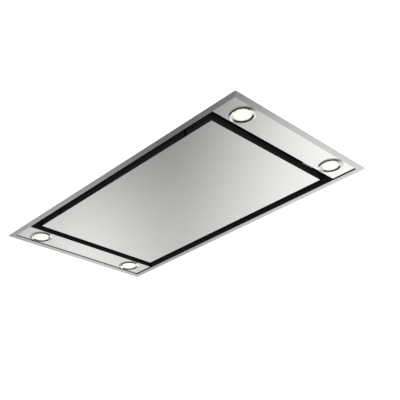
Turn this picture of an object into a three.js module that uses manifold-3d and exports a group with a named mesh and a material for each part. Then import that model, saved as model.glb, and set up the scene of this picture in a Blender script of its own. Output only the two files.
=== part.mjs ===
// Ceiling range hood with edge suction: a steel trim frame, two light plates with four LED spots,
// a swing-down panel, grease filters, and a blower housing above the ceiling.
// Millimetres, +Z up. Origin: centre of the ceiling cut-out, on the ceiling's lower face.
// -Y is the front, where the panel's hinges are. +X is the right.
import * as THREE from 'three';
import { mergeVertices } from 'three/addons/utils/BufferGeometryUtils.js';
import Module from 'manifold-3d';

const wasm = await Module();
wasm.setup();

// ---- Driving dimensions ----

const GAP = 0.3;                      // between pieces that touch
const ROUND_SIDES = 32;               // sides of a large circle
const LAMP_SIDES = 24;                // sides of a lamp's rings or a knob
const SMALL_SIDES = 12;               // sides of a pin or a screw

// Face
const FACE_LENGTH = 900;
const FACE_WIDTH = 500;
const TRIM_BORDER = 16;
const TRIM_THICKNESS = 1.2;
const TRIM_CORNER_RADIUS = 2.5;
const TRIM_UPSTAND_HEIGHT = 9;
const FACE_RECESS = 2.2;              // from the trim's lower face up to the panel's
const SLOT_WIDTH = 26;
const BOARD_THICKNESS = 12.5;         // ceiling board that the hood is clamped to

// Light plates and LED spots
const STRIP_WIDTH = 70;
const STRIP_THICKNESS = 1;
const STRIP_LIP_HEIGHT = 10;
const STRIP_FRONT_GAP = 0.5;
const STRIP_BACK_GAP = 4.5;
const LAMP_SIDE_OFFSET = 80;          // lamp centre from the long edges of the face
const LAMP_GLASS_RADIUS = 22;
const LENS_THICKNESS = 2;
const BEZEL_LIP = 5;                  // overlap of the bezel under the lens
const BEZEL_LIP_THICKNESS = 0.5;
const BEZEL_WALL = 1.2;
const BEZEL_RADIUS = 32.5;
const BEZEL_PROUD = 2.9;              // below the light plate
const BEZEL_SEAT_THICKNESS = 0.5;
const BEZEL_SPIGOT_HEIGHT = 11;
const LAMP_HOLE_CLEARANCE = 0.6;
const LAMP_BODY_HEIGHT = 24;
const LAMP_FIN_COUNT = 3;
const LAMP_FIN_DEPTH = 4;

// Panel
const PANEL_SHEET = 1;
const PANEL_DEPTH = 23;
const LINER_SHEET = 1;
const LINER_INSET = 0.5;
const PANEL_OPEN_CLEARANCE = 2.5;     // between a hinge bracket and its notch in the liner

// Hinges of the panel
const HINGE_END_INSET = 88;           // from the panel's short edges
const HINGE_INSET = 13;               // from the panel's front edge
const HINGE_RISE = 11;                // above the panel's lower face
const HINGE_EYE_RADIUS = 6;
const HINGE_PLATE = 3;
const HINGE_PIN_RADIUS = 2.5;
const HINGE_PIN_HEAD = 1.2;
const HINGE_PIN_HEAD_RADIUS = 4.2;
const HINGE_BRACKET_FOOT = 24;
const HINGE_BRACKET_FOOT_HALF = 9;
const HINGE_ARM_FOOT = 18;
const HINGE_FOOT_SHEET = 1.5;

// Snap catches
const CATCH_BACK_OFFSET = 48;         // stud centre from the panel's back edge
const CATCH_WIDTH = 40;
const CATCH_LIFT = 3;                 // shelf above the top of the panel's liner
const CATCH_SHEET = 1.2;
const CATCH_LEG_HEIGHT = 24;
const CATCH_SHELF_END = 9;            // shelf beyond the stud
const CATCH_KNEE = 8;                 // from the stud's axis to where the arm starts to rise
const CATCH_RISE = THREE.MathUtils.degToRad(30);
const STUD_INSET = 9;                 // from the panel's short edge
const STUD_BASE_RADIUS = 7;
const STUD_BASE_HEIGHT = 1.5;
const STUD_NECK_RADIUS = 2.6;
const STUD_HEAD_RADIUS = 4;
const STUD_HEAD_HEIGHT = 4;
const STUD_HEAD_BEVEL = 1;
const STUD_HEAD_LIFT = 0.6;
const STUD_CLEARANCE = 0.8;

// Canopy
const CANOPY_SHEET = 1.2;
const CANOPY_HEIGHT = 60;
const BULKHEAD_SETBACK = 1;
const BULKHEAD_FLANGE = 4;
const DECK_THICKNESS = 1.2;

// Grease filters and their rails
const FILTER_SIDE_MARGIN = 52;        // filters inside the panel's short edges
const FILTER_END_MARGIN = 38;         // and inside its long edges
const FILTER_THICKNESS = 10;
const FILTER_SPACING = 8;
const FILTER_TOP_CLEARANCE = 0.6;
const FILTER_BORDER = 12;
const FILTER_FRONT_BORDER = 24;
const FILTER_LIP = 4;
const FILTER_LIP_THICKNESS = 1;
const FILTER_PUSH = 8;                // travel that frees the front edge
const FILTER_EDGE_CLEARANCE = 1;
const MESH_SHEET = 0.8;
const MESH_FOLDS = 24;
const RAIL_SHEET = 1.2;
const FRONT_LEDGE = 6;
const BACK_LEDGE = 20;
const RAIL_END = 6;                   // rail beyond the outer filter edge
const DECK_OVERLAP = 12;              // deck over each edge of a filter
const KNOB_RADIUS = 11;
const KNOB_NECK_RADIUS = 4;
const KNOB_HEIGHT = 9;
const KNOB_HEAD_HEIGHT = 5;
const KNOB_BEVEL = 1.2;
const KNOB_INSET = 18;                // knob's axis from the filter's front edge

// Blower housing
const HOUSING_SIDE_MARGIN = 9;        // beyond the filters along X
const HOUSING_END_MARGIN = 25;        // beyond the filters along Y
const HOUSING_HEIGHT = 238;
const HOUSING_SHEET = 1;
const HOUSING_FLANGE = 12;            // turned out at the foot and under the cover
const COVER_THICKNESS = 1;
const EAR_LENGTH = 32;                // beyond the housing's flange
const EAR_WIDTH = 40;
const EAR_THICKNESS = 2;
const EAR_HOLE_RADIUS = 4.5;
const EAR_END_OFFSET = 34;            // ear centre from the housing's corner

// Blower
const AXIS_DROP = 94;                 // blower axis below the cover
const IMPELLER_RADIUS = 75;
const IMPELLER_WIDTH = 112;
const BLADE_COUNT = 24;
const BLADE_DEPTH = 13;
const BLADE_THICKNESS = 1;
const BLADE_SWEEP = 0.2;              // radians from root to tip
const BLADE_STEPS = 2;
const RIM_THICKNESS = 2;
const RIM_OVERHANG = 1.5;
const HUB_RADIUS = 12;
const HUB_LENGTH = 16;
const HUB_OVERHANG = 4;               // hub beyond the disc, on the motor's side
const DISC_THICKNESS = 2;
const SHAFT_RADIUS = 4;
const MOTOR_RADIUS = 42;
const MOTOR_LENGTH = 68;
const MOTOR_STANDOFF = 9;             // between the impeller's disc and the motor
const MOTOR_BOSS_RADIUS = 12;
const MOTOR_BOSS_LENGTH = 6;
const MOTOR_CHAMFER = 3;
const SPIDER_RING_WALL = 5;
const SPIDER_LENGTH = 7;
const SPIDER_ARM_COUNT = 3;
const SPIDER_ARM_WIDTH = 12;
const SPIDER_ARM_THICKNESS = 2.5;
const SPIDER_ARM_OVERLAP = 14;        // arm beyond the inlet's edge
const SCROLL_CLEARANCE = 7;
const SCROLL_GROWTH = 33;
const SCROLL_SIDE_CLEARANCE = 6;      // impeller to scroll side
const SCROLL_SHEET = 1.2;
const SCROLL_STEPS = 30;
const CUTOFF_ANGLE = THREE.MathUtils.degToRad(70);
const CUTOFF_LAP = 2;
const INLET_RADIUS = 52;
const INLET_LIP = 5;

// Outlet collar and non-return flaps
const DUCT_RADIUS = 74.8;
const COLLAR_WALL = 1.5;
const COLLAR_HEIGHT = 60;
const COLLAR_PLATE = 176;
const COLLAR_PLATE_THICKNESS = 1.2;
const FLAP_HEIGHT = 14;               // flap pin above the collar's plate
const FLAP_THICKNESS = 1.2;
const FLAP_CLEARANCE = 0.8;
const FLAP_STOP_WIDTH = 4;
const FLAP_STOP_THICKNESS = 1.2;
const FLAP_PIN_RADIUS = 2;
const KNUCKLE_WALL = 1.3;
const KNUCKLE_LENGTH = 20;
const KNUCKLE_GAP = 2;

// Electrics
const CONTROL_BOX_LENGTH = 150;
const CONTROL_BOX_HEIGHT = 48;
const CONTROL_BOX_FRONT = -60;
const BAY_OUTER_MARGIN = 8;           // control box inside the deck's short edge
const BAY_INNER_MARGIN = 12.5;        // control box beyond the housing's flange
const BOX_SHEET = 1.5;
const BOX_COVER_LAP = 8;
const GLAND_BORE_RADIUS = 4.5;
const GLAND_BODY_RADIUS = 8;
const GLAND_FLANGE_RADIUS = 12;
const GLAND_FLANGE_THICKNESS = 5;
const GLAND_LENGTH = 22;
const GLAND_TAIL = 9;
const GLAND_INSET = 24;
const DRIVER_LENGTH = 130;
const DRIVER_HEIGHT = 30;
const DRIVER_SIDE_MARGIN = 23;        // narrower than the control box on each side
const DRIVER_EAR = 12;
const DRIVER_EAR_THICKNESS = 2;

// Ceiling clamps
const CLAMP_END_OFFSET = 65;          // screw from the face's short edges
const CLAMP_WALL_OFFSET = 12;         // screw inside the canopy's long wall
const CLAMP_WIDTH = 16;
const CLAMP_THICKNESS = 4;
const CLAMP_REACH = 14;               // beyond the canopy's wall
const CLAMP_TRAVEL = 25;
const CLAMP_BOSS_RADIUS = 7;
const CLAMP_BOSS_HEIGHT = 6;
const CLAMP_WINDOW_CLEARANCE = 1;
const CLAMP_WINDOW_DROP = 3;          // window's lower edge under the clamp at rest
const SCREW_RADIUS = 2.5;
const SCREW_HEAD_RADIUS = 4.5;
const SCREW_HEAD_HEIGHT = 2.5;
const SCREW_HEAD_LIFT = 2;            // above the light plate

// ---- Levels and edges worked out from them ----

const openingX = FACE_LENGTH / 2 - TRIM_BORDER;
const openingY = FACE_WIDTH / 2 - TRIM_BORDER;
const faceZ = FACE_RECESS - TRIM_THICKNESS;
const stripTop = faceZ + STRIP_THICKNESS;
const stripInnerX = openingX - STRIP_WIDTH;
const panelHalfX = stripInnerX - SLOT_WIDTH;
const panelHalfY = openingY - SLOT_WIDTH;
const linerHalfX = panelHalfX - LINER_INSET;
const linerHalfY = panelHalfY - LINER_INSET;
const linerFloor = faceZ + PANEL_SHEET + GAP + LINER_SHEET;
const linerTop = faceZ + PANEL_DEPTH;
const wallInnerX = openingX + GAP;
const wallInnerY = openingY + GAP;
const wallOuterX = wallInnerX + CANOPY_SHEET;
const wallOuterY = wallInnerY + CANOPY_SHEET;
const bulkheadX = stripInnerX + BULKHEAD_SETBACK;
const deckBottom = CANOPY_HEIGHT + GAP;
const deckTop = deckBottom + DECK_THICKNESS;
const underDeck = deckBottom - GAP;
const housingBottom = deckTop + GAP;
const housingTop = housingBottom + HOUSING_HEIGHT;
const coverBottom = housingTop + GAP;
const coverTop = coverBottom + COVER_THICKNESS;
const underCover = coverBottom - GAP;
const collarBottom = coverTop + GAP;
const hingeY = -(panelHalfY - HINGE_INSET);
const hingeZ = faceZ + HINGE_RISE;
const filterTop = deckBottom - FILTER_TOP_CLEARANCE;
const filterBottom = filterTop - FILTER_THICKNESS;
const hingeX = panelHalfX - HINGE_END_INSET;
const filtersHalfX = panelHalfX - FILTER_SIDE_MARGIN;
const filterLength = filtersHalfX - FILTER_SPACING / 2;
const filterX = (filterLength + FILTER_SPACING) / 2;
const filterHalfY = panelHalfY - FILTER_END_MARGIN;
const housingHalfX = filtersHalfX + HOUSING_SIDE_MARGIN;
const housingHalfY = filterHalfY + HOUSING_END_MARGIN;
const flangeHalfX = housingHalfX + HOUSING_FLANGE;
const flangeHalfY = housingHalfY + HOUSING_FLANGE;
const scrollStart = IMPELLER_RADIUS + SCROLL_CLEARANCE;
const scrollEnd = scrollStart + SCROLL_GROWTH;
const scrollHalf = IMPELLER_WIDTH / 2 + SCROLL_SIDE_CLEARANCE;
const cutoffY = scrollStart * Math.cos(CUTOFF_ANGLE);
const blowerY = -(cutoffY + scrollEnd) / 2;
const blowerZ = coverBottom - AXIS_DROP;
const ductBore = DUCT_RADIUS - COLLAR_WALL;

// ---- Finishes ----

const stainless = { color: 0xc9c9c6, roughness: 0.28, metalness: 0.9 };
const polishedSteel = { color: 0xd4d5d2, roughness: 0.12, metalness: 1 };
const blackSteel = { color: 0x151614, roughness: 0.55, metalness: 0.3 };
const galvanised = { color: 0xa9adaf, roughness: 0.45, metalness: 0.8 };
const aluminium = { color: 0xbfc2c4, roughness: 0.4, metalness: 0.9 };
const greyPlastic = { color: 0x4b4d4e, roughness: 0.6, metalness: 0 };
const blackPlastic = { color: 0x1b1c1d, roughness: 0.5, metalness: 0 };
const warmGlass = { color: 0xfffbe8, roughness: 0.3, metalness: 0, emissive: 0xfff6d8 };
const motorPaint = { color: 0x2d3033, roughness: 0.5, metalness: 0.4 };

// ---- Solids ----

const WELD_DISTANCE = 1e-4;

function signedVolume(points, corners) {
  const a = new THREE.Vector3();
  const b = new THREE.Vector3();
  const c = new THREE.Vector3();
  let volume = 0;
  for (let i = 0; i < corners.length; i += 3) {
    a.fromArray(points, 3 * corners[i]);
    b.fromArray(points, 3 * corners[i + 1]);
    c.fromArray(points, 3 * corners[i + 2]);
    volume += a.dot(b.cross(c)) / 6;
  }
  return volume;
}

// A closed three.js geometry as a solid, with its faces pointing out.
function solidOf(geometry) {
  const bare = geometry.clone();
  bare.deleteAttribute('normal');
  bare.deleteAttribute('uv');
  const welded = mergeVertices(bare, WELD_DISTANCE);
  const points = welded.getAttribute('position').array;
  const corners = [];
  for (let i = 0; i < welded.index.count; i += 3) {
    const [a, b, c] = [0, 1, 2].map((k) => welded.index.getX(i + k));
    if (a !== b && b !== c && c !== a) corners.push(a, b, c);
  }
  if (signedVolume(points, corners) < 0) corners.reverse();
  return new wasm.Manifold(new wasm.Mesh({
    numProp: 3,
    vertProperties: new Float32Array(points),
    triVerts: new Uint32Array(corners),
  }));
}

function geometryOf(solid) {
  const { vertProperties, triVerts } = solid.getMesh();
  const geometry = new THREE.BufferGeometry();
  geometry.setAttribute('position', new THREE.BufferAttribute(vertProperties, 3));
  geometry.setIndex(new THREE.BufferAttribute(triVerts, 1));
  const flat = geometry.toNonIndexed();
  flat.computeVertexNormals();
  return flat;
}

const join = (...solids) => solids.reduce((whole, piece) => whole.add(piece));
const cut = (body, ...tools) => tools.reduce((rest, tool) => rest.subtract(tool), body);

function block([x0, x1], [y0, y1], [z0, z1]) {
  const box = new THREE.BoxGeometry(Math.abs(x1 - x0), Math.abs(y1 - y0), Math.abs(z1 - z0));
  return solidOf(box.translate((x0 + x1) / 2, (y0 + y1) / 2, (z0 + z1) / 2));
}

// An outline drawn in the XY plane, between two heights.
function slab(shape, z0, z1, curveSegments = ROUND_SIDES / 2) {
  const body = new THREE.ExtrudeGeometry(shape, { depth: z1 - z0, bevelEnabled: false, curveSegments });
  return solidOf(body.translate(0, 0, z0));
}

// An outline drawn in the YZ plane, between two places along X.
function slabAlongX(shape, x0, x1, curveSegments = ROUND_SIDES / 2) {
  const depth = Math.abs(x1 - x0);
  const body = new THREE.ExtrudeGeometry(shape, { depth, bevelEnabled: false, curveSegments });
  const turn = new THREE.Matrix4().makeBasis(
    new THREE.Vector3(0, 1, 0), new THREE.Vector3(0, 0, 1), new THREE.Vector3(1, 0, 0));
  body.applyMatrix4(turn);
  return solidOf(body.translate(Math.min(x0, x1), 0, 0));
}

// An outline drawn in the XZ plane, between two places along Y.
function slabAlongY(shape, y0, y1) {
  const body = new THREE.ExtrudeGeometry(shape, { depth: y1 - y0, bevelEnabled: false });
  return solidOf(body.rotateX(Math.PI / 2).translate(0, y1, 0));
}

// A closed profile of [radius, height] points turned about the Z axis.
function turned(profile, sides = ROUND_SIDES) {
  const points = profile.map(([radius, height]) => new THREE.Vector2(radius, height));
  return solidOf(new THREE.LatheGeometry(points, sides).rotateX(Math.PI / 2));
}

// The same about the X axis: the profile's heights run along +X.
function turnedAlongX(profile, sides = ROUND_SIDES) {
  const points = profile.map(([radius, height]) => new THREE.Vector2(radius, height));
  return solidOf(new THREE.LatheGeometry(points, sides).rotateZ(-Math.PI / 2));
}

const ringProfile = (inner, outer, from, to) => [
  [inner, from], [outer, from], [outer, to], [inner, to], [inner, from]];
const rodProfile = (radius, from, to) => [[0, from], [radius, from], [radius, to], [0, to]];

function rodAlongX(radius, x0, x1, sides = SMALL_SIDES) {
  return turnedAlongX(rodProfile(radius, x0, x1), sides);
}

function rectangle([x0, x1], [y0, y1]) {
  const shape = new THREE.Shape();
  shape.moveTo(x0, y0).lineTo(x1, y0).lineTo(x1, y1).lineTo(x0, y1).closePath();
  return shape;
}

const centred = (halfX, halfY) => rectangle([-halfX, halfX], [-halfY, halfY]);

function roundedRectangle(halfX, halfY, radius) {
  const shape = new THREE.Shape();
  shape.absarc(halfX - radius, halfY - radius, radius, 0, Math.PI / 2);
  shape.absarc(radius - halfX, halfY - radius, radius, Math.PI / 2, Math.PI);
  shape.absarc(radius - halfX, radius - halfY, radius, Math.PI, 1.5 * Math.PI);
  shape.absarc(halfX - radius, radius - halfY, radius, 1.5 * Math.PI, 2 * Math.PI);
  return shape;
}

function circle(x, y, radius) {
  const path = new THREE.Path();
  path.absarc(x, y, radius, 0, 2 * Math.PI);
  return path;
}

function withHoles(shape, ...holes) {
  shape.holes.push(...holes);
  return shape;
}

// ---- Face ----

function trimFrame() {
  const cornerSegments = 3;
  const outline = roundedRectangle(FACE_LENGTH / 2, FACE_WIDTH / 2, TRIM_CORNER_RADIUS);
  const flange = slab(withHoles(outline, centred(openingX, openingY)), -TRIM_THICKNESS, 0, cornerSegments);
  const innerX = wallOuterX + GAP;
  const innerY = wallOuterY + GAP;
  const upstand = withHoles(
    centred(innerX + TRIM_THICKNESS, innerY + TRIM_THICKNESS), centred(innerX, innerY));
  return join(flange, slab(upstand, -TRIM_THICKNESS / 2, TRIM_UPSTAND_HEIGHT));
}

// The plates are handed: each leaves its wider gap at the back.
function lightPlate(side, lampX, lampY, holeRadius) {
  const outerX = side * (openingX - GAP);
  const spanY = [STRIP_FRONT_GAP - openingY, openingY - STRIP_BACK_GAP];
  const outline = rectangle([side * stripInnerX, outerX], spanY);
  withHoles(outline, circle(side * lampX, lampY, holeRadius), circle(side * lampX, -lampY, holeRadius));
  const lip = block([outerX - side * STRIP_THICKNESS, outerX], spanY, [faceZ, faceZ + STRIP_LIP_HEIGHT]);
  return join(slab(outline, faceZ, stripTop), lip);
}

// One LED spot, about its own axis, with height 0 at the light plate's lower face.
function lampPieces() {
  const boreRadius = LAMP_GLASS_RADIUS + BEZEL_LIP;
  const spigotRadius = boreRadius + BEZEL_WALL;
  const seat = -GAP;
  const rim = seat - BEZEL_SEAT_THICKNESS;
  const crownRadius = (BEZEL_RADIUS + spigotRadius) / 2;
  const lipBottom = seat - 2 * BEZEL_SEAT_THICKNESS;
  const lipTop = lipBottom + BEZEL_LIP_THICKNESS;
  const bezel = turned([
    [LAMP_GLASS_RADIUS, lipBottom],
    [boreRadius, -BEZEL_PROUD + BEZEL_LIP_THICKNESS],
    [spigotRadius, -BEZEL_PROUD],
    [crownRadius, -BEZEL_PROUD],
    [BEZEL_RADIUS, rim],
    [BEZEL_RADIUS, seat],
    [spigotRadius, seat],
    [spigotRadius, BEZEL_SPIGOT_HEIGHT],
    [boreRadius, BEZEL_SPIGOT_HEIGHT],
    [boreRadius, lipTop],
    [LAMP_GLASS_RADIUS, lipTop],
    [LAMP_GLASS_RADIUS, lipBottom],
  ], LAMP_SIDES);
  const lens = turned(
    rodProfile(boreRadius - GAP, lipTop + GAP, lipTop + GAP + LENS_THICKNESS), LAMP_SIDES);
  const bodyBottom = BEZEL_SPIGOT_HEIGHT + GAP;
  const finPitch = LAMP_BODY_HEIGHT / (LAMP_FIN_COUNT + 1);
  const profile = [[0, bodyBottom], [spigotRadius, bodyBottom]];
  for (let fin = 1; fin <= LAMP_FIN_COUNT; fin++) {
    const level = bodyBottom + fin * finPitch;
    const grooveHalf = finPitch / 4;
    profile.push(
      [spigotRadius, level - grooveHalf], [spigotRadius - LAMP_FIN_DEPTH, level - grooveHalf],
      [spigotRadius - LAMP_FIN_DEPTH, level + grooveHalf], [spigotRadius, level + grooveHalf]);
  }
  profile.push([spigotRadius, bodyBottom + LAMP_BODY_HEIGHT], [0, bodyBottom + LAMP_BODY_HEIGHT]);
  const housing = turned(profile, SMALL_SIDES);
  return { bezel, lens, housing, holeRadius: spigotRadius + LAMP_HOLE_CLEARANCE };
}

// ---- Panel, hinges and catches ----

const panelFace = () => slab(centred(panelHalfX, panelHalfY), faceZ, faceZ + PANEL_SHEET);

const hingeCheekX = (side) => [side * hingeX, side * (hingeX + HINGE_PLATE)];
const hingeArmX = (side) => [
  side * (hingeX - GAP - HINGE_PLATE), side * (hingeX - GAP)];

function panelLiner() {
  const walls = withHoles(centred(linerHalfX, linerHalfY),
    centred(linerHalfX - LINER_SHEET, linerHalfY - LINER_SHEET));
  const floor = slab(centred(linerHalfX, linerHalfY), linerFloor - LINER_SHEET, linerFloor);
  const tray = join(floor, slab(walls, linerFloor - LINER_SHEET / 2, linerTop));
  const notches = [-1, 1].map((side) => {
    const [near, far] = hingeCheekX(side);
    return block([near - side * PANEL_OPEN_CLEARANCE, far + side * PANEL_OPEN_CLEARANCE],
      [-linerHalfY - LINER_SHEET, -linerHalfY + 2 * LINER_SHEET],
      [linerFloor, linerTop + LINER_SHEET]);
  });
  return cut(tray, ...notches);
}

// A cheek with a round eye at the hinge axis and a straight end at the given height.
function hingeCheek([x0, x1], endZ) {
  const up = endZ > hingeZ;
  const shape = new THREE.Shape();
  shape.moveTo(hingeY + HINGE_EYE_RADIUS, endZ);
  shape.lineTo(hingeY + HINGE_EYE_RADIUS, hingeZ);
  shape.absarc(hingeY, hingeZ, HINGE_EYE_RADIUS, 0, up ? -Math.PI : Math.PI, up);
  shape.lineTo(hingeY - HINGE_EYE_RADIUS, endZ);
  shape.closePath();
  withHoles(shape, circle(hingeY, hingeZ, HINGE_PIN_RADIUS + GAP));
  return slabAlongX(shape, x0, x1, SMALL_SIDES / 2);
}

function hingeBracket(side) {
  const [near, far] = hingeCheekX(side);
  const foot = block([near, near + side * HINGE_BRACKET_FOOT],
    [hingeY - HINGE_BRACKET_FOOT_HALF, hingeY + HINGE_BRACKET_FOOT_HALF],
    [underDeck - HINGE_FOOT_SHEET, underDeck]);
  return join(hingeCheek([near, far], underDeck), foot);
}

function hingeArm(side) {
  const [near, far] = hingeArmX(side);
  const base = linerFloor + GAP;
  const foot = block([far, far - side * HINGE_ARM_FOOT],
    [hingeY - HINGE_EYE_RADIUS, hingeY + HINGE_EYE_RADIUS], [base, base + HINGE_FOOT_SHEET]);
  return join(hingeCheek([near, far], base), foot);
}

function hingePin(side) {
  const outer = side * (hingeX + HINGE_PLATE + GAP);
  const inner = side * (hingeX - 2 * GAP - HINGE_PLATE);
  const x0 = Math.min(outer, inner);
  const x1 = Math.max(outer, inner);
  return turnedAlongX([
    [0, x0 - HINGE_PIN_HEAD], [HINGE_PIN_HEAD_RADIUS, x0 - HINGE_PIN_HEAD], [HINGE_PIN_HEAD_RADIUS, x0],
    [HINGE_PIN_RADIUS, x0], [HINGE_PIN_RADIUS, x1], [HINGE_PIN_HEAD_RADIUS, x1],
    [HINGE_PIN_HEAD_RADIUS, x1 + HINGE_PIN_HEAD], [0, x1 + HINGE_PIN_HEAD],
  ], SMALL_SIDES);
}

const catchY = panelHalfY - CATCH_BACK_OFFSET;
const studX = panelHalfX - STUD_INSET;
const shelfBottom = linerTop + CATCH_LIFT;

// A bent strip about the stud's axis: a level shelf with a hole for the stud, an arm that rises
// above the suction slot, and a leg on the bulkhead.
function catchClip(side) {
  const wall = bulkheadX - GAP - studX;
  const innerWall = wall - CATCH_SHEET;
  const slope = Math.tan(CATCH_RISE);
  const shelfTop = shelfBottom + CATCH_SHEET;
  const armTop = shelfBottom + CATCH_SHEET / Math.cos(CATCH_RISE);
  const legTop = shelfBottom + CATCH_LEG_HEIGHT;
  const outline = [
    [-CATCH_SHELF_END, shelfBottom], [CATCH_KNEE, shelfBottom],
    [wall, shelfBottom + (wall - CATCH_KNEE) * slope], [wall, legTop], [innerWall, legTop],
    [innerWall, armTop + (innerWall - CATCH_KNEE) * slope],
    [CATCH_KNEE - CATCH_SHEET * Math.tan(CATCH_RISE / 2), shelfTop], [-CATCH_SHELF_END, shelfTop],
  ];
  const strip = slabAlongY(
    new THREE.Shape(outline.map(([x, z]) => new THREE.Vector2(side * x, z))),
    -CATCH_WIDTH / 2, CATCH_WIDTH / 2);
  const hole = turned(rodProfile(STUD_HEAD_RADIUS + STUD_CLEARANCE,
    shelfBottom - CATCH_SHEET, shelfBottom + 2 * CATCH_SHEET), SMALL_SIDES);
  return cut(strip, hole);
}

function catchStud() {
  const base = linerFloor + GAP;
  const headBottom = shelfBottom + CATCH_SHEET + STUD_HEAD_LIFT;
  const headTop = headBottom + STUD_HEAD_HEIGHT;
  return turned([
    [0, base], [STUD_BASE_RADIUS, base], [STUD_BASE_RADIUS, base + STUD_BASE_HEIGHT],
    [STUD_NECK_RADIUS, base + STUD_BASE_HEIGHT], [STUD_NECK_RADIUS, headBottom],
    [STUD_HEAD_RADIUS, headBottom + STUD_HEAD_BEVEL], [STUD_HEAD_RADIUS, headTop - STUD_HEAD_BEVEL],
    [STUD_NECK_RADIUS, headTop], [0, headTop],
  ], SMALL_SIDES);
}

// ---- Canopy ----

const clampX = FACE_LENGTH / 2 - CLAMP_END_OFFSET;
const clampY = wallInnerY - CLAMP_WALL_OFFSET;
const clampBottom = BOARD_THICKNESS + GAP;
const CORNERS = [[-1, -1], [1, -1], [-1, 1], [1, 1]];

function canopyFrame() {
  const ring = withHoles(centred(wallOuterX, wallOuterY), centred(wallInnerX, wallInnerY));
  const seat = stripTop + GAP;
  const reachY = wallInnerY + CANOPY_SHEET / 2;
  const bulkheadTop = CANOPY_HEIGHT - GAP;
  const bulkheads = [-1, 1].map((side) => {
    const fold = new THREE.Shape();
    fold.moveTo(side * bulkheadX, seat);
    fold.lineTo(side * (bulkheadX + BULKHEAD_FLANGE), seat);
    fold.lineTo(side * (bulkheadX + BULKHEAD_FLANGE), seat + CANOPY_SHEET);
    fold.lineTo(side * (bulkheadX + CANOPY_SHEET), seat + CANOPY_SHEET);
    fold.lineTo(side * (bulkheadX + CANOPY_SHEET), bulkheadTop);
    fold.lineTo(side * bulkheadX, bulkheadTop);
    return slabAlongY(fold, -reachY, reachY);
  });
  const halfWindow = CLAMP_WIDTH / 2 + CLAMP_WINDOW_CLEARANCE;
  const windowTop = clampBottom + CLAMP_THICKNESS + CLAMP_TRAVEL + CLAMP_WINDOW_CLEARANCE;
  const windows = CORNERS.map(([sx, sy]) => block(
    [sx * clampX - halfWindow, sx * clampX + halfWindow],
    [sy * (wallInnerY - CANOPY_SHEET), sy * (wallOuterY + CANOPY_SHEET)],
    [clampBottom - CLAMP_WINDOW_DROP, windowTop]));
  return cut(join(slab(ring, GAP, CANOPY_HEIGHT), ...bulkheads), ...windows);
}

function canopyDeck() {
  const halfX = filterLength / 2 - DECK_OVERLAP;
  const halfY = filterHalfY - DECK_OVERLAP;
  const openings = [-filterX, filterX].map((middle) => block([middle - halfX, middle + halfX],
    [-halfY, halfY], [deckBottom - DECK_THICKNESS, deckTop + DECK_THICKNESS]));
  const railX = [-filtersHalfX - RAIL_END, filtersHalfX + RAIL_END];
  const ledgeTop = filterBottom - GAP;
  const ledge = [ledgeTop - RAIL_SHEET, ledgeTop];
  const web = [ledgeTop - RAIL_SHEET, deckBottom + DECK_THICKNESS / 2];
  const frontWeb = -filterHalfY - FILTER_EDGE_CLEARANCE;
  const backWeb = filterHalfY + FILTER_PUSH + FILTER_EDGE_CLEARANCE;
  return join(
    cut(slab(centred(wallOuterX, wallOuterY), deckBottom, deckTop), ...openings),
    block(railX, [frontWeb - RAIL_SHEET, frontWeb], web),
    block(railX, [frontWeb - RAIL_SHEET, -filterHalfY + FRONT_LEDGE], ledge),
    block(railX, [backWeb, backWeb + RAIL_SHEET], web),
    block(railX, [filterHalfY - BACK_LEDGE, backWeb + RAIL_SHEET], ledge));
}

// ---- Grease filters, each about its own middle ----

const filterHoleFront = -filterHalfY + FILTER_FRONT_BORDER;
const filterHoleBack = filterHalfY - FILTER_BORDER;
const filterHoleHalfX = filterLength / 2 - FILTER_BORDER;

function filterFrame() {
  const outer = () => centred(filterLength / 2, filterHalfY);
  const hole = rectangle([-filterHoleHalfX, filterHoleHalfX], [filterHoleFront, filterHoleBack]);
  const lipHole = rectangle([-filterHoleHalfX + FILTER_LIP, filterHoleHalfX - FILTER_LIP],
    [filterHoleFront + FILTER_LIP, filterHoleBack - FILTER_LIP]);
  return join(
    slab(withHoles(outer(), hole), filterBottom, filterTop),
    slab(withHoles(outer(), lipHole), filterBottom, filterBottom + FILTER_LIP_THICKNESS));
}

// A sheet folded in a zigzag along X.
function filterMesh() {
  const from = -filterHoleHalfX + GAP;
  const pitch = 2 * -from / (2 * MESH_FOLDS);
  const low = filterBottom + FILTER_LIP_THICKNESS + GAP;
  const high = filterTop - MESH_SHEET;
  const shape = new THREE.Shape();
  const crease = (k) => [from + k * pitch, k % 2 === 0 ? low : high];
  shape.moveTo(...crease(0));
  for (let k = 1; k <= 2 * MESH_FOLDS; k++) shape.lineTo(...crease(k));
  for (let k = 2 * MESH_FOLDS; k >= 0; k--) shape.lineTo(crease(k)[0], crease(k)[1] + MESH_SHEET);
  return slabAlongY(shape, filterHoleFront + GAP, filterHoleBack - GAP);
}

function filterKnob() {
  const top = filterBottom - GAP;
  const headTop = top - KNOB_HEIGHT + KNOB_HEAD_HEIGHT;
  return turned([
    [0, top - KNOB_HEIGHT], [KNOB_RADIUS - KNOB_BEVEL, top - KNOB_HEIGHT],
    [KNOB_RADIUS, headTop - KNOB_HEAD_HEIGHT / 2], [KNOB_RADIUS - KNOB_BEVEL, headTop],
    [KNOB_NECK_RADIUS, headTop], [KNOB_NECK_RADIUS, top], [0, top],
  ], LAMP_SIDES);
}

// ---- Blower housing ----

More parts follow.
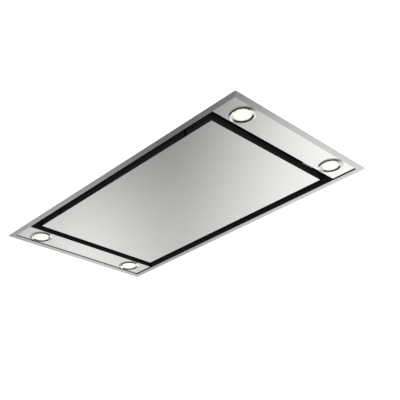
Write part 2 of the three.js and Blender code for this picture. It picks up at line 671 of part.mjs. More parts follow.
function housingBody() {
  const halfX = housingHalfX;
  const halfY = housingHalfY;
  const inner = () => centred(halfX - HOUSING_SHEET, halfY - HOUSING_SHEET);
  const walls = slab(withHoles(centred(halfX, halfY), inner()), housingBottom, housingTop);
  const flange = (level) => slab(
    withHoles(centred(flangeHalfX, flangeHalfY), inner()), level, level + HOUSING_SHEET);
  const ears = CORNERS.map(([sx, sy]) => {
    const middle = sy * (halfY - EAR_END_OFFSET);
    const inside = sx * (halfX - HOUSING_SHEET / 2);
    const outside = sx * (flangeHalfX + EAR_LENGTH);
    const ear = rectangle([Math.min(inside, outside), Math.max(inside, outside)],
      [middle - EAR_WIDTH / 2, middle + EAR_WIDTH / 2]);
    withHoles(ear, circle(sx * (flangeHalfX + EAR_LENGTH / 2), middle, EAR_HOLE_RADIUS));
    return slab(ear, housingTop - EAR_THICKNESS, housingTop, SMALL_SIDES / 2);
  });
  return join(walls, flange(housingBottom), flange(housingTop - HOUSING_SHEET), ...ears);
}

function housingCover() {
  const outline = withHoles(centred(flangeHalfX, flangeHalfY), circle(0, 0, ductBore));
  return slab(outline, coverBottom, coverTop);
}

// ---- Blower, about its own axis along X ----

const polar = (radius, angle) => new THREE.Vector2(radius * Math.cos(angle), radius * Math.sin(angle));
const neckTop = underCover - blowerZ;

function spiral(extra) {
  const points = [];
  for (let step = 0; step <= SCROLL_STEPS; step++) {
    const share = step / SCROLL_STEPS;
    const angle = CUTOFF_ANGLE + share * (2 * Math.PI - CUTOFF_ANGLE);
    points.push(polar(scrollStart + share * SCROLL_GROWTH + extra, angle));
  }
  return points;
}

function scrollWrap() {
  const band = new THREE.Shape([...spiral(SCROLL_SHEET), ...spiral(0).reverse()]);
  const half = scrollHalf - GAP;
  const cutoffZ = scrollStart * Math.sin(CUTOFF_ANGLE);
  return join(
    slabAlongX(band, -half, half),
    block([-half, half], [cutoffY - SCROLL_SHEET, cutoffY], [cutoffZ - CUTOFF_LAP, neckTop]),
    block([-half, half], [scrollEnd, scrollEnd + SCROLL_SHEET], [-CUTOFF_LAP, neckTop]));
}

function scrollSide(side) {
  const x = [side * scrollHalf, side * (scrollHalf + SCROLL_SHEET)];
  const lip = [scrollHalf - GAP, scrollHalf + SCROLL_SHEET + INLET_LIP].map((value) => side * value);
  const plate = join(
    slabAlongX(new THREE.Shape(spiral(SCROLL_SHEET)), ...x),
    block(x, [cutoffY - SCROLL_SHEET, scrollEnd + SCROLL_SHEET], [0, neckTop]));
  const ring = turnedAlongX(ringProfile(INLET_RADIUS - SCROLL_SHEET, INLET_RADIUS + SCROLL_SHEET,
    Math.min(...lip), Math.max(...lip)));
  const inlet = rodAlongX(
    INLET_RADIUS, Math.min(...x) - SCROLL_SHEET, Math.max(...x) + SCROLL_SHEET, ROUND_SIDES);
  return join(cut(plate, inlet), ring);
}

function blade() {
  const edge = (turn) => Array.from({ length: BLADE_STEPS + 1 }, (unused, step) => {
    const share = step / BLADE_STEPS;
    const radius = IMPELLER_RADIUS - BLADE_DEPTH * (1 - share);
    return polar(radius, BLADE_SWEEP * share * share + turn * BLADE_THICKNESS / 2 / radius);
  });
  return new THREE.Shape([...edge(-1), ...edge(1).reverse()]);
}

function impeller() {
  const half = IMPELLER_WIDTH / 2;
  const rimInner = IMPELLER_RADIUS - BLADE_DEPTH;
  const rimOuter = IMPELLER_RADIUS + RIM_OVERHANG;
  const boreRadius = SHAFT_RADIUS + GAP;
  const hubEnd = DISC_THICKNESS / 2 + HUB_OVERHANG;
  let wheel = join(
    turnedAlongX(ringProfile(boreRadius, rimOuter, -DISC_THICKNESS / 2, DISC_THICKNESS / 2)),
    turnedAlongX(ringProfile(boreRadius, HUB_RADIUS, hubEnd - HUB_LENGTH, hubEnd)),
    turnedAlongX(ringProfile(rimInner, rimOuter, -half, -half + RIM_THICKNESS)),
    turnedAlongX(ringProfile(rimInner, rimOuter, half - RIM_THICKNESS, half)));
  const span = half - RIM_THICKNESS / 2;
  for (let k = 0; k < BLADE_COUNT; k++) {
    const points = blade().getPoints();
    const turn = 2 * Math.PI * k / BLADE_COUNT;
    points.forEach((point) => point.rotateAround(new THREE.Vector2(), turn));
    wheel = join(wheel, slabAlongX(new THREE.Shape(points), -span, span));
  }
  return wheel;
}

const motorStart = DISC_THICKNESS / 2 + MOTOR_STANDOFF;
const motorEnd = motorStart + MOTOR_LENGTH;
const spiderStart = scrollHalf + SCROLL_SHEET + GAP;

function motor() {
  const shaftTip = -HUB_LENGTH;
  return turnedAlongX([
    [0, shaftTip], [SHAFT_RADIUS, shaftTip], [SHAFT_RADIUS, motorStart],
    [MOTOR_RADIUS - MOTOR_CHAMFER, motorStart], [MOTOR_RADIUS, motorStart + MOTOR_CHAMFER],
    [MOTOR_RADIUS, motorEnd - MOTOR_CHAMFER], [MOTOR_RADIUS - MOTOR_CHAMFER, motorEnd],
    [MOTOR_BOSS_RADIUS, motorEnd], [MOTOR_BOSS_RADIUS, motorEnd + MOTOR_BOSS_LENGTH],
    [0, motorEnd + MOTOR_BOSS_LENGTH],
  ]);
}

// A ring round the motor, with arms that reach over the inlet's edge to the scroll side.
function motorSpider() {
  const ringInner = MOTOR_RADIUS + GAP;
  const ringOuter = ringInner + SPIDER_RING_WALL;
  const start = spiderStart + INLET_LIP;
  const ring = turnedAlongX(ringProfile(ringInner, ringOuter, start, start + SPIDER_LENGTH));
  const footRadius = INLET_RADIUS + SCROLL_SHEET + GAP;
  const armEnd = INLET_RADIUS + SPIDER_ARM_OVERLAP;
  const arms = Array.from({ length: SPIDER_ARM_COUNT }, (unused, k) => {
    const across = [-SPIDER_ARM_WIDTH / 2, SPIDER_ARM_WIDTH / 2];
    const bar = rectangle([ringInner + SPIDER_RING_WALL / 2, armEnd], across);
    const foot = rectangle([footRadius, armEnd], across);
    const turn = Math.PI / 2 + 2 * Math.PI * k / SPIDER_ARM_COUNT;
    const place = (shape) => new THREE.Shape(
      shape.getPoints().map((point) => point.rotateAround(new THREE.Vector2(), turn)));
    return join(
      slabAlongX(place(bar), start, start + SPIDER_ARM_THICKNESS),
      slabAlongX(place(foot), spiderStart, start + SPIDER_ARM_THICKNESS));
  });
  return join(ring, ...arms);
}

// ---- Outlet collar and flaps, about the duct's axis, from the collar's lower face ----

const flapZ = COLLAR_PLATE_THICKNESS + FLAP_HEIGHT;
const knuckleRadius = FLAP_PIN_RADIUS + GAP + KNUCKLE_WALL;

function outletCollar() {
  const stopTop = flapZ - FLAP_THICKNESS / 2 - GAP;
  const top = COLLAR_PLATE_THICKNESS + COLLAR_HEIGHT;
  const tube = turned([
    [ductBore, 0], [DUCT_RADIUS, 0], [DUCT_RADIUS, top], [ductBore, top],
    [ductBore, stopTop], [ductBore - FLAP_STOP_WIDTH, stopTop],
    [ductBore - FLAP_STOP_WIDTH, stopTop - FLAP_STOP_THICKNESS],
    [ductBore, stopTop - 2 * FLAP_STOP_THICKNESS], [ductBore, 0],
  ]);
  const half = COLLAR_PLATE / 2;
  const holeRadius = (ductBore + DUCT_RADIUS) / 2;
  const plate = slab(withHoles(centred(half, half), circle(0, 0, holeRadius)), 0, COLLAR_PLATE_THICKNESS);
  const pinHole = solidOf(new THREE.CylinderGeometry(FLAP_PIN_RADIUS + GAP, FLAP_PIN_RADIUS + GAP,
    3 * DUCT_RADIUS, SMALL_SIDES).rotateZ(Math.PI / 2).translate(0, 0, flapZ));
  return cut(join(tube, plate), pinHole);
}

// One half-disc with knuckles on its straight edge. side is +1 for the back flap, -1 for the front one.
function flap(side) {
  const radius = ductBore - FLAP_CLEARANCE;
  const edge = knuckleRadius + GAP + FLAP_THICKNESS / 2;
  const start = Math.asin(edge / radius);
  const outline = new THREE.Shape();
  outline.absarc(0, 0, radius, side * start, side * (Math.PI - start), side < 0);
  outline.closePath();
  const leaf = slab(outline, flapZ - FLAP_THICKNESS / 2, flapZ + FLAP_THICKNESS / 2, SMALL_SIDES / 2);
  const pitch = 2 * (KNUCKLE_LENGTH + KNUCKLE_GAP);
  const shift = side * (KNUCKLE_LENGTH + KNUCKLE_GAP) / 2;
  const knuckles = [-0.5, 0.5].map((place) => {
    const middle = place * pitch + shift;
    const x = [middle - KNUCKLE_LENGTH / 2, middle + KNUCKLE_LENGTH / 2];
    const tube = new THREE.CylinderGeometry(knuckleRadius, knuckleRadius, KNUCKLE_LENGTH, SMALL_SIDES);
    const web = block(x, [0, side * (edge + FLAP_THICKNESS)],
      [flapZ - FLAP_THICKNESS / 2, flapZ + FLAP_THICKNESS / 2]);
    return join(solidOf(tube.rotateZ(Math.PI / 2).translate(middle, 0, flapZ)), web);
  });
  const bore = solidOf(new THREE.CylinderGeometry(FLAP_PIN_RADIUS + GAP, FLAP_PIN_RADIUS + GAP,
    2 * DUCT_RADIUS, SMALL_SIDES).rotateZ(Math.PI / 2).translate(0, 0, flapZ));
  return cut(join(leaf, ...knuckles), bore);
}

const flapPin = () => rodAlongX(FLAP_PIN_RADIUS, -DUCT_RADIUS, DUCT_RADIUS);

// ---- Electrics ----

const bayInnerX = flangeHalfX + BAY_INNER_MARGIN;
const bayOuterX = wallOuterX - BAY_OUTER_MARGIN;
const boxHalfX = (bayOuterX - bayInnerX) / 2;
const boxHalfY = CONTROL_BOX_LENGTH / 2;
const boxX = (bayOuterX + bayInnerX) / 2;
const boxY = CONTROL_BOX_FRONT + boxHalfY;

// An open box about the middle of its floor, with the gland's hole in its front wall.
function controlBox() {
  const walls = withHoles(
    centred(boxHalfX, boxHalfY), centred(boxHalfX - BOX_SHEET, boxHalfY - BOX_SHEET));
  const hole = new THREE.CylinderGeometry(GLAND_BODY_RADIUS + GAP, GLAND_BODY_RADIUS + GAP,
    4 * BOX_SHEET, SMALL_SIDES);
  return cut(
    join(slab(walls, 0, CONTROL_BOX_HEIGHT), slab(centred(boxHalfX, boxHalfY), 0, BOX_SHEET)),
    solidOf(hole.translate(0, -boxHalfY, GLAND_INSET)));
}

function controlCover() {
  const reach = BOX_SHEET + GAP;
  const outer = () => centred(boxHalfX + reach, boxHalfY + reach);
  const skirt = withHoles(outer(), centred(boxHalfX + GAP, boxHalfY + GAP));
  const bottom = CONTROL_BOX_HEIGHT + GAP;
  const top = CONTROL_BOX_HEIGHT + reach;
  return join(slab(skirt, bottom - BOX_COVER_LAP, top), slab(outer(), bottom, top));
}

// A hollow screw gland along -Y, with height 0 at the wall's outer face.
function cableGland() {
  return turned([
    [GLAND_BORE_RADIUS, -GLAND_TAIL], [GLAND_BODY_RADIUS, -GLAND_TAIL], [GLAND_BODY_RADIUS, GAP],
    [GLAND_FLANGE_RADIUS, GAP], [GLAND_FLANGE_RADIUS, GAP + GLAND_FLANGE_THICKNESS],
    [GLAND_BODY_RADIUS, GAP + GLAND_FLANGE_THICKNESS], [GLAND_BODY_RADIUS, GLAND_LENGTH],
    [GLAND_BORE_RADIUS, GLAND_LENGTH], [GLAND_BORE_RADIUS, -GLAND_TAIL],
  ], SMALL_SIDES);
}

function ledDriver() {
  const halfX = boxHalfX - DRIVER_SIDE_MARGIN;
  const halfY = DRIVER_LENGTH / 2;
  return join(
    slab(centred(halfX, halfY), 0, DRIVER_HEIGHT),
    slab(centred(halfX, halfY + DRIVER_EAR), 0, DRIVER_EAR_THICKNESS));
}

// ---- Ceiling clamps, about the screw's axis, drawn for the back wall ----

function ceilingClamp() {
  const outerY = wallOuterY - clampY + CLAMP_REACH;
  const armTop = clampBottom + CLAMP_THICKNESS;
  const arm = block([-CLAMP_WIDTH / 2, CLAMP_WIDTH / 2], [0, outerY], [clampBottom, armTop]);
  const boss = turned(rodProfile(CLAMP_BOSS_RADIUS, clampBottom, armTop + CLAMP_BOSS_HEIGHT), SMALL_SIDES);
  const hole = turned(rodProfile(SCREW_RADIUS + GAP, 0, CANOPY_HEIGHT), SMALL_SIDES);
  return cut(join(arm, boss), hole);
}

function clampScrew() {
  const bottom = stripTop + SCREW_HEAD_LIFT;
  const shoulder = bottom + SCREW_HEAD_HEIGHT;
  return turned([
    [0, bottom], [SCREW_HEAD_RADIUS, bottom], [SCREW_HEAD_RADIUS, shoulder],
    [SCREW_RADIUS, shoulder], [SCREW_RADIUS, underDeck], [0, underDeck],
  ], SMALL_SIDES);
}

// ---- Assembly ----

const hood = new THREE.Group();

function add(parent, name, solid, finish, place = {}) {
  const mesh = new THREE.Mesh(geometryOf(solid), new THREE.MeshStandardMaterial(finish));
  mesh.name = name;
  mesh.position.set(place.x ?? 0, place.y ?? 0, place.z ?? 0);
  mesh.rotation.z = place.turn ?? 0;
  parent.add(mesh);
}

function groupAt(x, y, z) {
  const group = new THREE.Group();
  group.position.set(x, y, z);
  hood.add(group);
  return group;
}

const endName = (side) => (side < 0 ? 'left' : 'right');
const cornerName = ([sx, sy]) => `${sy < 0 ? 'front' : 'back'}_${endName(sx)}`;

add(hood, 'trim_frame', trimFrame(), stainless);
add(hood, 'canopy_frame', canopyFrame(), blackSteel);
add(hood, 'canopy_deck', canopyDeck(), blackSteel);

const lampX = openingX - STRIP_WIDTH / 2;
const lampY = FACE_WIDTH / 2 - LAMP_SIDE_OFFSET;
const lamp = lampPieces();
for (const side of [-1, 1]) {
  add(hood, `light_plate_${endName(side)}`, lightPlate(side, lampX, lampY, lamp.holeRadius), stainless);
}
for (const corner of CORNERS) {
  const spot = groupAt(corner[0] * lampX, corner[1] * lampY, faceZ);
  add(spot, `lamp_bezel_${cornerName(corner)}`, lamp.bezel, polishedSteel);
  add(spot, `lamp_lens_${cornerName(corner)}`, lamp.lens, warmGlass);
  add(spot, `lamp_housing_${cornerName(corner)}`, lamp.housing, aluminium);
}

add(hood, 'panel_face', panelFace(), stainless);
add(hood, 'panel_liner', panelLiner(), blackSteel);
for (const side of [-1, 1]) {
  const hinge = groupAt(0, 0, 0);
  add(hinge, `hinge_bracket_${endName(side)}`, hingeBracket(side), blackSteel);
  add(hinge, `hinge_arm_${endName(side)}`, hingeArm(side), blackSteel);
  add(hinge, `hinge_pin_${endName(side)}`, hingePin(side), polishedSteel, { y: hingeY, z: hingeZ });
  const snap = groupAt(side * studX, catchY, 0);
  add(snap, `catch_clip_${endName(side)}`, catchClip(side), polishedSteel);
  add(snap, `catch_stud_${endName(side)}`, catchStud(), polishedSteel);
  const filter = groupAt(side * filterX, 0, 0);
  add(filter, `filter_frame_${endName(side)}`, filterFrame(), aluminium);
  add(filter, `filter_mesh_${endName(side)}`, filterMesh(), aluminium);
  add(filter, `filter_knob_${endName(side)}`, filterKnob(), blackPlastic,
    { y: -filterHalfY + KNOB_INSET });
}

add(hood, 'housing_body', housingBody(), galvanised);
add(hood, 'housing_cover', housingCover(), galvanised);

const blower = groupAt(0, blowerY, blowerZ);
add(blower, 'scroll_wrap', scrollWrap(), galvanised);
add(blower, 'scroll_side_left', scrollSide(-1), galvanised);
add(blower, 'scroll_side_right', scrollSide(1), galvanised);
add(blower, 'impeller', impeller(), greyPlastic);
add(blower, 'motor', motor(), motorPaint);
add(blower, 'motor_spider', motorSpider(), galvanised);

const outlet = groupAt(0, 0, collarBottom);
add(outlet, 'outlet_collar', outletCollar(), blackPlastic);
add(outlet, 'flap_front', flap(-1), greyPlastic);
add(outlet, 'flap_back', flap(1), greyPlastic);
add(outlet, 'flap_pin', flapPin(), polishedSteel, { z: flapZ });

const electrics = groupAt(-boxX, boxY, deckTop + GAP);
add(electrics, 'control_box', controlBox(), galvanised);
add(electrics, 'control_cover', controlCover(), galvanised);
const glandMount = groupAt(-boxX, boxY - boxHalfY, deckTop + GAP + GLAND_INSET);
glandMount.rotation.x = Math.PI / 2;
add(glandMount, 'cable_gland', cableGland(), blackPlastic);
add(hood, 'led_driver', ledDriver(), greyPlastic, { x: boxX, z: deckTop + GAP });

for (const corner of CORNERS) {
  const [sx, sy] = corner;
  const post = groupAt(sx * clampX, sy * clampY, 0);
  add(post, `ceiling_clamp_${cornerName(corner)}`, ceilingClamp(), galvanised,
    { turn: sy < 0 ? Math.PI : 0 });
  add(post, `clamp_screw_${cornerName(corner)}`, clampScrew(), polishedSteel);
}

export default hood;
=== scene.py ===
"""Ceiling range hood, seen from below: finishes, lamps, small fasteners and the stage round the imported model.

Metres, +Z up, origin on the ceiling's lower face in the middle of its cut-out. -Y is the hinge side.
"""
import math

import bmesh
import bpy
from mathutils import Matrix, Vector


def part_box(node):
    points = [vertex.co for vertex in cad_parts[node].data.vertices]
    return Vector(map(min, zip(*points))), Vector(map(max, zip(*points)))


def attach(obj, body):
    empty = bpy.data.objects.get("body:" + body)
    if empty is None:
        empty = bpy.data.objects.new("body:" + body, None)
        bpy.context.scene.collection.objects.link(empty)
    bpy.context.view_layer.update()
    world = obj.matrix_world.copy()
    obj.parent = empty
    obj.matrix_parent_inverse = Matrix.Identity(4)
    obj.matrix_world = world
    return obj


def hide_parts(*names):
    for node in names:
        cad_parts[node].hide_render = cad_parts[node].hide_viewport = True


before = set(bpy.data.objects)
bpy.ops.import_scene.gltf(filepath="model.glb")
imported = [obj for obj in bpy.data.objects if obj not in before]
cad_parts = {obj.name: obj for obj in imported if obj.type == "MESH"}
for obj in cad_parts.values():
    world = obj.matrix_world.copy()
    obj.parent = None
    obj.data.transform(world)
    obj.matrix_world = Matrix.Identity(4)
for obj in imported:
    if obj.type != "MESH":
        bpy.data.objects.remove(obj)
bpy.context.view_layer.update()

MM = 0.001

# ---- Node trees written as expressions ----


class Channel:
    """What a socket carries. Arithmetic on a channel of numbers adds Math nodes."""

    def __init__(self, wiring, socket):
        self.wiring = wiring
        self.socket = socket

    def _with(self, operation, *values):
        return self.wiring.node("ShaderNodeMath", {"operation": operation}, dict(enumerate(values)))

    def __add__(self, other):
        return self._with("ADD", self, other)

    __radd__ = __add__

    def __sub__(self, other):
        return self._with("SUBTRACT", self, other)

    def __rsub__(self, other):
        return self._with("SUBTRACT", other, self)

    def __mul__(self, other):
        return self._with("MULTIPLY", self, other)

    __rmul__ = __mul__

    def __lt__(self, other):
        return self._with("LESS_THAN", self, other)

    def __abs__(self):
        return self._with("ABSOLUTE", self)


class Wiring:
    """A node tree. Every node comes from node(): its type, its settings, then its sockets."""

    def __init__(self, tree):
        self.tree = tree
        tree.nodes.clear()

    def node(self, kind, settings=None, sockets=None, output=0):
        made = self.tree.nodes.new(kind)
        for name, value in (settings or {}).items():
            if name == "stops":
                set_stops(made.color_ramp, value)
            else:
                setattr(made, name, value)
        for name, value in (sockets or {}).items():
            if isinstance(value, Channel):
                self.tree.links.new(value.socket, made.inputs[name])
            else:
                made.inputs[name].default_value = value
        return Channel(self, made.outputs[output]) if made.outputs else None


def set_stops(ramp, stops):
    while len(ramp.elements) < len(stops):
        ramp.elements.new(0.5)
    for element, (place, value) in zip(ramp.elements, stops):
        element.position = place
        element.color = grey(value) if isinstance(value, float) else value


def grey(value):
    return (value, value, value, 1.0)


def tone(red, green, blue):
    return (red, green, blue, 1.0)


class Finish(Wiring):
    """A material with one Principled shader. Lengths in its patterns are metres on the object."""

    def __init__(self, name, **fixed):
        self.material = bpy.data.materials.new(name)
        self.material.use_nodes = True
        super().__init__(self.material.node_tree)
        self.fixed = fixed
        self.place = self.node("ShaderNodeTexCoord", output="Object")

    def cells_of(self, x, y, z):
        """The place measured in cells of this size."""
        return self.node("ShaderNodeVectorMath", {"operation": "MULTIPLY"},
                         {0: self.place, 1: (1 / x, 1 / y, 1 / z)})

    def noise(self, x, y, z, detail=2.0, roughness=0.5):
        """Soft noise from 0 to 1, with features about x by y by z in size."""
        return self.node("ShaderNodeTexNoise", {},
                         {"Vector": self.cells_of(x, y, z), "Scale": 1.0, "Detail": detail,
                          "Roughness": roughness}, "Fac")

    def ramp(self, value, *stops):
        return self.node("ShaderNodeValToRGB", {"stops": stops}, {"Fac": value}, "Color")

    def blend(self, share, first, second):
        """A colour between two colours."""
        return self.node("ShaderNodeMix", {"data_type": "RGBA"}, {0: share, 6: first, 7: second}, 2)

    def along(self, axis):
        """How far along one axis the place is."""
        return self.node("ShaderNodeSeparateXYZ", {}, {0: self.place}, axis)

    def bump(self, height, strength, depth):
        return self.node("ShaderNodeBump", {}, {"Height": height, "Strength": strength, "Distance": depth})

    def surface(self, **sockets):
        named = {name.replace("_", " "): value for name, value in {**self.fixed, **sockets}.items()}
        shader = self.node("ShaderNodeBsdfPrincipled", {}, named)
        self.node("ShaderNodeOutputMaterial", {}, {"Surface": shader})
        return self.material


# ---- Finishes ----

FACE_HALF_X, FACE_HALF_Y = 0.45, 0.25
STEEL = (0.75, 0.75, 0.735)
SATIN_STEEL = (0.49, 0.49, 0.48)
TRIM_SLOPE = 0.016                    # the trim's face rises this much towards its outer edge
EDGE_SHADE_WIDTH = 0.0003                     # the trim's outer edge and the rim next to it are painted darker this far in: painted shade along its outer edge


def brushed_steel(name, grain, colour=STEEL):
    """Brushed stainless sheet. grain is "x", "y", or "mitred" for a frame brushed along each side."""
    steel = Finish(name, Metallic=1.0)

    def streaks(axis):
        long, fine = 0.16, 0.0007
        broad = steel.noise(*((1.1, 0.006, 0.006) if axis == "x" else (0.006, 1.1, 0.006)), detail=3.0)
        thin = steel.noise(*((long, fine, fine) if axis == "x" else (fine, long, fine)), detail=3.0)
        return 0.6 * thin + 0.4 * broad

    height = 0.0
    light = tone(*colour)
    if grain == "mitred":
        to_end = FACE_HALF_X - abs(steel.along("X"))
        to_side = FACE_HALF_Y - abs(steel.along("Y"))
        on_long_side = to_side < to_end
        streak = on_long_side * streaks("x") + (1 - on_long_side) * streaks("y")
        to_edge = steel.node("ShaderNodeMath", {"operation": "MINIMUM"}, {0: to_end, 1: to_side})
        height = to_edge * TRIM_SLOPE
        # painted shade: the trim's outer edge and the rim next to it are painted a quarter as bright
        light = steel.blend(to_edge < EDGE_SHADE_WIDTH, light, tone(*(0.25 * c for c in colour)))
    else:
        streak = streaks(grain)
    smudge = steel.noise(0.09, 0.07, 0.07, detail=4.0)
    worn = tone(*(0.95 * c for c in colour))
    return steel.surface(
        Base_Color=steel.blend(streak, worn, light),
        Roughness=0.14 + 0.07 * streak + 0.05 * smudge,
        Normal=steel.bump(height + streak * 0.000012, 1.0, 1.0))


def polished_steel():
    steel = Finish("polished_steel", Metallic=1.0)
    smudge = steel.noise(0.012, 0.012, 0.012, detail=5.0)
    scratch = steel.noise(0.02, 0.0008, 0.0008, detail=2.0)
    return steel.surface(
        Base_Color=steel.blend(smudge, tone(0.80, 0.80, 0.79), tone(0.90, 0.90, 0.885)),
        Roughness=0.06 + 0.10 * smudge + 0.05 * scratch,
        Normal=steel.bump(scratch, 0.05, 0.0001))


PAINTED_SHADE_START, PAINTED_SHADE_RATE = 0.146, 20.0   # where the painted shade starts on a catch, and how fast it darkens


def spring_steel():
    """Sprung catch steel: bright at its front, with painted shade darkening it towards its back."""
    steel = Finish("spring_steel", Metallic=1.0)
    mottle = steel.noise(0.012, 0.006, 0.012, detail=4.0)
    reach = (steel.along("Y") - PAINTED_SHADE_START) * PAINTED_SHADE_RATE + 0.20 * mottle
    scratch = steel.noise(0.0008, 0.02, 0.0008, detail=2.0)
    return steel.surface(
        # painted shade: the base colour darkens from the catch's front towards its back, its boundary broken up by
        # random noise
        Base_Color=steel.ramp(reach, (0.25, tone(0.95, 0.95, 0.94)), (0.65, tone(0.52, 0.52, 0.51)),
                              (1.0, tone(0.05, 0.05, 0.048))),
        Roughness=0.22 + 0.15 * mottle + 0.05 * scratch,
        Normal=steel.bump(scratch, 0.08, 0.0001))


def bezel_chrome():
    """Bright chrome on the lamp rings, with faint haze and wipe marks."""
    chrome = Finish("bezel_chrome", Metallic=1.0)
    haze = chrome.noise(0.008, 0.008, 0.008, detail=4.0)
    wipe = chrome.noise(0.012, 0.0012, 0.0012, detail=2.0)
    return chrome.surface(
        Base_Color=chrome.blend(haze, tone(0.76, 0.765, 0.75), tone(0.83, 0.83, 0.82)),
        Roughness=0.045 + 0.05 * haze + 0.02 * wipe,
        Normal=chrome.bump(wipe, 0.04, 0.0001))


def powder_coat(name, level, roughness=0.42):
    """Black powder coat with a fine orange-peel skin."""
    coat = Finish(name, IOR=1.5)
    peel = coat.noise(0.0016, 0.0016, 0.0016, detail=2.0)
    dust = coat.noise(0.05, 0.05, 0.05, detail=5.0)
    return coat.surface(
        Base_Color=coat.blend(dust, tone(level, level, 0.94 * level),
                              tone(1.6 * level, 1.6 * level, 1.5 * level)),
        Roughness=roughness + 0.12 * dust + 0.06 * peel,
        Normal=coat.bump(peel, 0.25, 0.0003))


def galvanised_sheet():
    """Zinc-coated sheet with its spangle of crystals."""
    zinc = Finish("galvanised_sheet", Metallic=1.0)
    crystal = zinc.node("ShaderNodeTexVoronoi", {"feature": "F1"},
                        {"Vector": zinc.cells_of(0.011, 0.011, 0.011), "Scale": 1.0}, "Color")
    shade = zinc.node("ShaderNodeSeparateColor", {}, {0: crystal}, 0)
    frost = zinc.noise(0.0015, 0.0015, 0.0015, detail=3.0)
    drift = zinc.noise(0.15, 0.15, 0.15, detail=3.0)
    mix = 0.55 * shade + 0.2 * frost + 0.25 * drift
    return zinc.surface(
        Base_Color=zinc.blend(mix, tone(0.50, 0.52, 0.54), tone(0.74, 0.76, 0.78)),
        Roughness=0.30 + 0.22 * shade + 0.08 * frost,
        Normal=zinc.bump(0.7 * shade + 0.3 * frost, 0.12, 0.0003))


def satin_aluminium(name="satin_aluminium"):
    metal = Finish(name, Metallic=1.0)
    grain = metal.noise(0.05, 0.0009, 0.0009, detail=3.0)
    haze = metal.noise(0.03, 0.03, 0.03, detail=4.0)
    return metal.surface(
        Base_Color=metal.blend(haze, tone(0.66, 0.67, 0.68), tone(0.80, 0.81, 0.82)),
        Roughness=0.28 + 0.12 * grain + 0.08 * haze,
        Normal=metal.bump(grain, 0.15, 0.0002))


def filter_mesh_metal():
    """Stacked expanded mesh: a diamond lattice of bright wires, with painted shade in the dark gaps between them.
    """
    mesh = Finish("filter_mesh_metal", Metallic=1.0)
    pitch = 0.0042
    x = mesh.along("X") * (1 / pitch)
    y = mesh.along("Y") * (1 / pitch)

    def wire(value):
        saw = mesh.node("ShaderNodeMath", {"operation": "FRACT"}, {0: value})
        return abs(saw - 0.5) * 2

    height = mesh.node("ShaderNodeMath", {"operation": "MAXIMUM"}, {0: wire(x + 0.6 * y), 1: wire(x - 0.6 * y)})
    grease = mesh.noise(0.04, 0.04, 0.02, detail=4.0)
    # painted shade: the gaps between the wires are painted near black, as the shade inside the stacked mesh
    bright = mesh.ramp(height, (0.45, grey(0.10)), (0.80, tone(0.70, 0.71, 0.71)))
    return mesh.surface(
        Base_Color=mesh.blend(0.35 * grease, bright, tone(0.42, 0.40, 0.36)),
        Roughness=0.30 + 0.2 * grease,
        Normal=mesh.bump(height, 0.6, 0.0012))


def moulded_plastic(name, colour, roughness):
    """Plastic with a fine moulded grain."""
    plastic = Finish(name, IOR=1.46)
    grain = plastic.noise(0.0009, 0.0009, 0.0009, detail=3.0)
    patch = plastic.noise(0.06, 0.06, 0.06, detail=4.0)
    light = tuple(1.25 * c for c in colour)
    return plastic.surface(
        Base_Color=plastic.blend(patch, tone(*colour), tone(*light)),
        Roughness=roughness + 0.10 * patch + 0.05 * grain,
        Normal=plastic.bump(grain, 0.18, 0.0002))


def motor_enamel():
    enamel = Finish("motor_enamel", Coat_Weight=0.3, Coat_Roughness=0.2)
    flow = enamel.noise(0.01, 0.01, 0.01, detail=3.0)
    return enamel.surface(
        Base_Color=enamel.blend(flow, tone(0.030, 0.033, 0.037), tone(0.050, 0.054, 0.060)),
        Roughness=0.38 + 0.14 * flow,
        Normal=enamel.bump(flow, 0.15, 0.0004))


def frosted_lens(name, centre):
    """A lit diffuser: warm white in the middle, yellower towards its rim."""
    lens = Finish(name, Emission_Strength=1.0, IOR=1.5)
    offset = lens.node("ShaderNodeVectorMath", {"operation": "SUBTRACT"}, {0: lens.place, 1: centre})
    flat = lens.node("ShaderNodeVectorMath", {"operation": "MULTIPLY"}, {0: offset, 1: (1, 1, 0)})
    radius = lens.node("ShaderNodeVectorMath", {"operation": "LENGTH"}, {0: flat}, "Value")
    frost = lens.noise(0.0012, 0.0012, 0.0012, detail=2.0)
    glow = lens.ramp(radius * (1 / 0.0267),
                     (0.0, tone(0.84, 0.85, 0.79)), (0.55, tone(0.82, 0.84, 0.75)),
                     (0.76, tone(0.76, 0.78, 0.64)), (0.84, tone(0.60, 0.62, 0.46)))
    return lens.surface(
        Base_Color=tone(0.20, 0.20, 0.18), Emission_Color=glow,
        Roughness=0.25 + 0.15 * frost, Normal=lens.bump(frost, 0.15, 0.0002))


FINISHES = {
    "panel_steel": brushed_steel("panel_steel", "x"),
    "plate_steel": brushed_steel("plate_steel", "y"),
    "trim_steel": brushed_steel("trim_steel", "mitred", SATIN_STEEL),
    "polished_steel": polished_steel(),
    "spring_steel": spring_steel(),
    "bezel_chrome": bezel_chrome(),
    "liner_coat": powder_coat("liner_coat", 0.02),
    "canopy_coat": powder_coat("canopy_coat", 0.008, 0.5),
    "galvanised": galvanised_sheet(),
    "aluminium": satin_aluminium(),
    "filter_mesh": filter_mesh_metal(),
    "grey_plastic": moulded_plastic("grey_plastic", (0.075, 0.078, 0.080), 0.45),
    "black_plastic": moulded_plastic("black_plastic", (0.012, 0.012, 0.013), 0.38),
    "motor_enamel": motor_enamel(),
}

CORNERS = {"front_left": (-1, -1), "front_right": (1, -1), "back_left": (-1, 1), "back_right": (1, 1)}
SIDES = {"left": -1, "right": 1}

